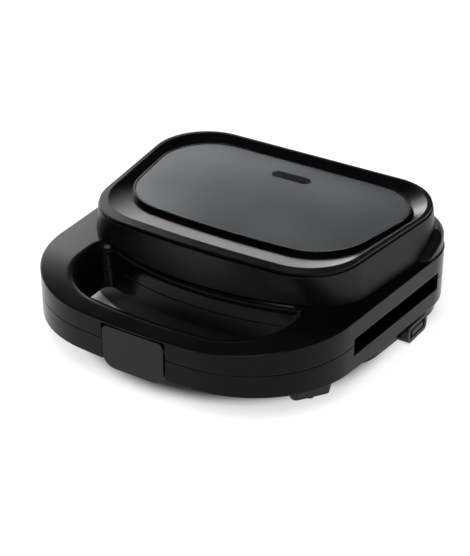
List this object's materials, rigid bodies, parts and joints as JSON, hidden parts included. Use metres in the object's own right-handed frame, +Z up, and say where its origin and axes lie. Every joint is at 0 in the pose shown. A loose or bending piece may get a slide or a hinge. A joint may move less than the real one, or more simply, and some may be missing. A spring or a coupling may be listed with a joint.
{
  "type": "donut maker",
  "caption": "Clam-shell kitchen appliance with a loop handle, a raised lid with a grey panel, ring moulds on two heated plates, a rear hinge and a front latch.",
  "frame": {"origin": "on the table under the middle of the appliance", "axes": "+Z up, -Y to the handle and latch at the front, +Y to the hinge, +X to the right as seen from the front"},
  "size_m": [0.2458, 0.2404, 0.0825],
  "materials": {
    "black_shell": "satin to gloss",
    "black_moulding": "fine texture",
    "steel": "zinc plated",
    "element_sheath": "annealed sheath",
    "reflector_sheet": "mill finish sheet",
    "coated_plate": "non-stick coating on die casting",
    "grey_panel": "satin grey",
    "smoked_lens": "clear smoked",
    "red_lamp": "clear tinted",
    "green_lamp": "clear tinted",
    "rubber": "matte",
    "insulator": "matte",
    "fuse_metal": "plain"
  },
  "bodies": {
    "base": {"base_shell": "black_shell", "bottom_cover": "black_moulding", "bottom_cover_screws": "steel", "front_foot_left": "black_moulding", "front_foot_right": "black_moulding", "rear_foot_left": "black_moulding", "rear_foot_right": "black_moulding", "cord_cleat_left": "black_moulding", "cord_cleat_right": "black_moulding", "foot_pads": "rubber", "cord_gland": "rubber", "terminal_block": "insulator", "lower_plate": "coated_plate", "lower_plate_screws": "steel", "lower_heating_element": "element_sheath", "lower_reflector": "reflector_sheet", "thermostat": "insulator", "hinge_lug_left": "black_moulding", "hinge_lug_right": "black_moulding", "hinge_pin_left": "steel", "hinge_pin_right": "steel"},
    "lid": {"lid_frame": "black_shell", "lid_dome": "black_shell", "top_cover": "black_shell", "panel_frame": "black_shell", "top_panel": "grey_panel", "indicator_lens": "smoked_lens", "power_lamp": "red_lamp", "ready_lamp": "green_lamp", "lamp_carrier": "insulator", "upper_plate": "coated_plate", "upper_plate_screws": "steel", "upper_heating_element": "element_sheath", "upper_reflector": "reflector_sheet", "thermal_fuse": "fuse_metal", "hinge_arm_left": "black_moulding", "hinge_arm_right": "black_moulding", "latch_pin": "steel"},
    "latch": {"latch": "black_shell"}
  },
  "joints": [
    {"name": "lid_hinge", "type": "hinge", "parent": "base", "child": "lid", "pos_m": [0, 0.1157, 0.0362], "axis": [-1, 0, 0], "range_deg": [0, 100]},
    {"name": "latch_pivot", "type": "hinge", "parent": "lid", "child": "latch", "pos_m": [0, -0.117, 0.041], "axis": [-1, 0, 0], "range_deg": [0, 45]}
  ]
}
